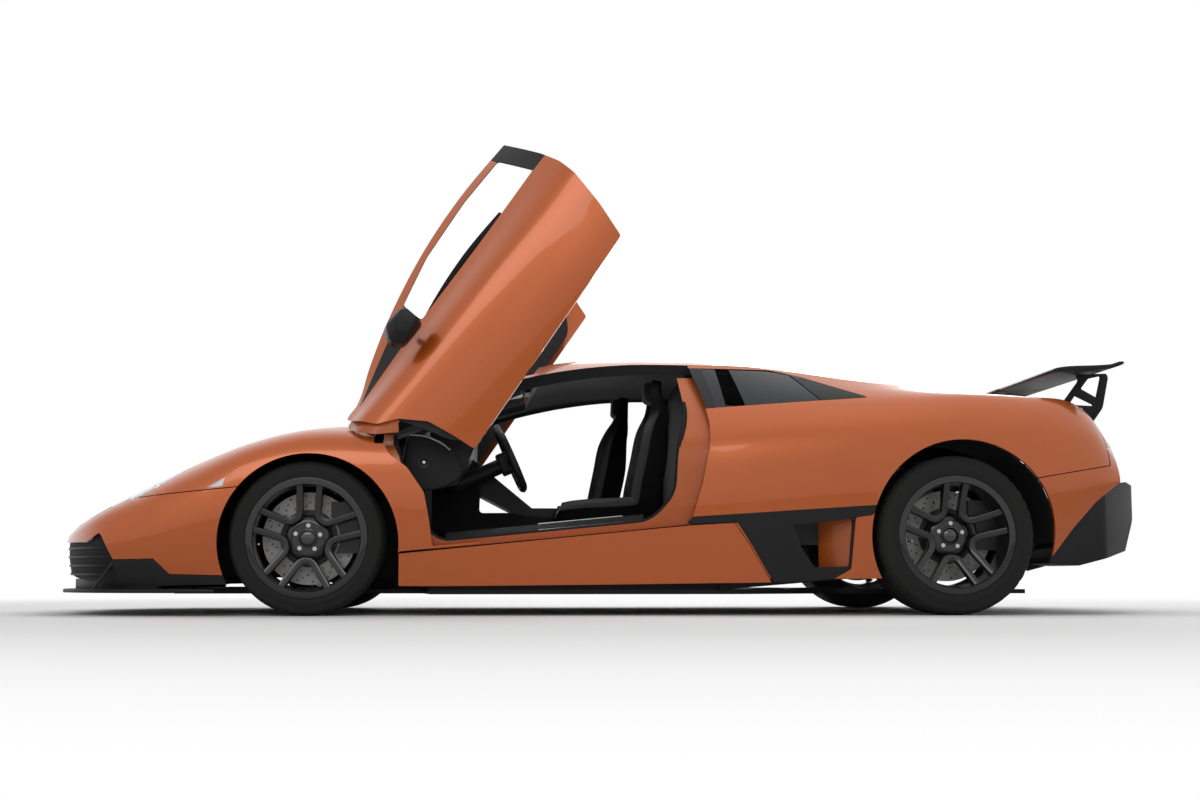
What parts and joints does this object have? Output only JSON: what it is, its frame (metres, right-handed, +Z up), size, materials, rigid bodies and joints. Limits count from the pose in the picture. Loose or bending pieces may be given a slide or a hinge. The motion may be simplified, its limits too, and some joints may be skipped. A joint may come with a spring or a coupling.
{
  "type": "supercar",
  "caption": "Low mid-engined two-seat coupe with doors that swing up and forward, steered front wheels, opening bonnet and engine lid, and a rear wing on trusses.",
  "frame": {"origin": "on the ground, under the middle of the car's overall length and width", "axes": "+X from nose to tail, +Y to the car's right-hand side, +Z up"},
  "size_m": [4.7039, 2.196, 2.0234],
  "materials": {
    "paint": "gloss orange",
    "satin_black": "satin",
    "clear_glass": "clear",
    "dark_glass": "tinted",
    "red_lens": "gloss",
    "dark_trim": "grained",
    "seat_cloth": "napped cloth",
    "cast_alloy": "cast",
    "chassis_steel": "satin",
    "exhaust_steel": "brushed",
    "tyre_rubber": "matt",
    "black_rim": "satin",
    "brake_disc": "machined"
  },
  "bodies": {
    "root": {"front_bumper": "paint", "front_splitter": "satin_black", "front_fender_left": "paint", "front_fender_right": "paint", "headlamps": "clear_glass", "roof": "paint", "windscreen": "clear_glass", "rear_quarter_left": "paint", "rear_quarter_right": "paint", "side_scoops": "satin_black", "quarter_windows": "dark_glass", "side_skirts": "paint", "rear_fascia": "paint", "undertray": "satin_black", "rear_diffuser": "satin_black", "exhaust": "exhaust_steel", "tail_lamps": "red_lens", "grilles": "satin_black", "rear_wing": "satin_black", "cabin_tub": "dark_trim", "dashboard": "dark_trim", "seat_left": "seat_cloth", "seat_right": "seat_cloth", "front_axle": "chassis_steel", "rear_axle": "chassis_steel", "engine": "cast_alloy", "wheel_liners": "satin_black"},
    "bonnet": {"bonnet": "paint"},
    "engine_lid": {"engine_lid": "paint"},
    "steering_wheel": {"steering_wheel": "dark_trim"},
    "door_left": {"door_left": "paint", "mirror_left": "satin_black"},
    "door_right": {"door_right": "paint", "mirror_right": "satin_black"},
    "steer_left": {"knuckle_left": "cast_alloy"},
    "steer_right": {"knuckle_right": "cast_alloy"},
    "wheel_front_left": {"tyre_front_left": "tyre_rubber", "rim_front_left": "black_rim", "disc_front_left": "brake_disc"},
    "wheel_front_right": {"tyre_front_right": "tyre_rubber", "rim_front_right": "black_rim", "disc_front_right": "brake_disc"},
    "wheel_rear_left": {"tyre_rear_left": "tyre_rubber", "rim_rear_left": "black_rim", "disc_rear_left": "brake_disc"},
    "wheel_rear_right": {"tyre_rear_right": "tyre_rubber", "rim_rear_right": "black_rim", "disc_rear_right": "brake_disc"}
  },
  "joints": [
    {"name": "door_left_swing", "type": "hinge", "parent": "root", "child": "door_left", "pos_m": [-1.0905, -0.82, 0.67], "axis": [0, 0.9962, 0.0872], "range_deg": [0, 50.2]},
    {"name": "door_right_swing", "type": "hinge", "parent": "root", "child": "door_right", "pos_m": [-1.0905, 0.82, 0.67], "axis": [0, 0.9962, -0.0872], "range_deg": [0, 50.2]},
    {"name": "bonnet_lift", "type": "hinge", "parent": "root", "child": "bonnet", "pos_m": [-1.1425, 0, 0.79], "axis": [0, 1, 0], "range_deg": [0, 50]},
    {"name": "engine_lid_lift", "type": "hinge", "parent": "root", "child": "engine_lid", "pos_m": [0.7445, 0, 1.075], "axis": [0, -1, 0], "range_deg": [0, 45]},
    {"name": "steer_left", "type": "hinge", "parent": "root", "child": "steer_left", "pos_m": [-1.2675, -0.733, 0.3143], "axis": [0, 0, 1], "range_deg": [-28, 28]},
    {"name": "steer_right", "type": "hinge", "parent": "root", "child": "steer_right", "pos_m": [-1.2675, 0.733, 0.3143], "axis": [0, 0, 1], "range_deg": [-28, 28]},
    {"name": "steering_wheel_turn", "type": "hinge", "parent": "root", "child": "steering_wheel", "pos_m": [-0.4275, -0.36, 0.668], "axis": [0.9135, 0, 0.4067], "range_deg": [-340, 340]},
    {"name": "wheel_front_left_spin", "type": "hinge", "parent": "steer_left", "child": "wheel_front_left", "pos_m": [-1.2675, -0.8175, 0.3143], "axis": [0, 1, 0], "continuous": true},
    {"name": "wheel_front_right_spin", "type": "hinge", "parent": "steer_right", "child": "wheel_front_right", "pos_m": [-1.2675, 0.8175, 0.3143], "axis": [0, 1, 0], "continuous": true},
    {"name": "wheel_rear_left_spin", "type": "hinge", "parent": "root", "child": "wheel_rear_left", "pos_m": [1.3975, -0.8475, 0.3291], "axis": [0, 1, 0], "continuous": true},
    {"name": "wheel_rear_right_spin", "type": "hinge", "parent": "root", "child": "wheel_rear_right", "pos_m": [1.3975, 0.8475, 0.3291], "axis": [0, 1, 0], "continuous": true}
  ],
  "couplings": [
    {"joint": "steer_right", "follows": "steer_left", "ratio": 1},
    {"joint": "steering_wheel_turn", "follows": "steer_left", "ratio": 12}
  ]
}
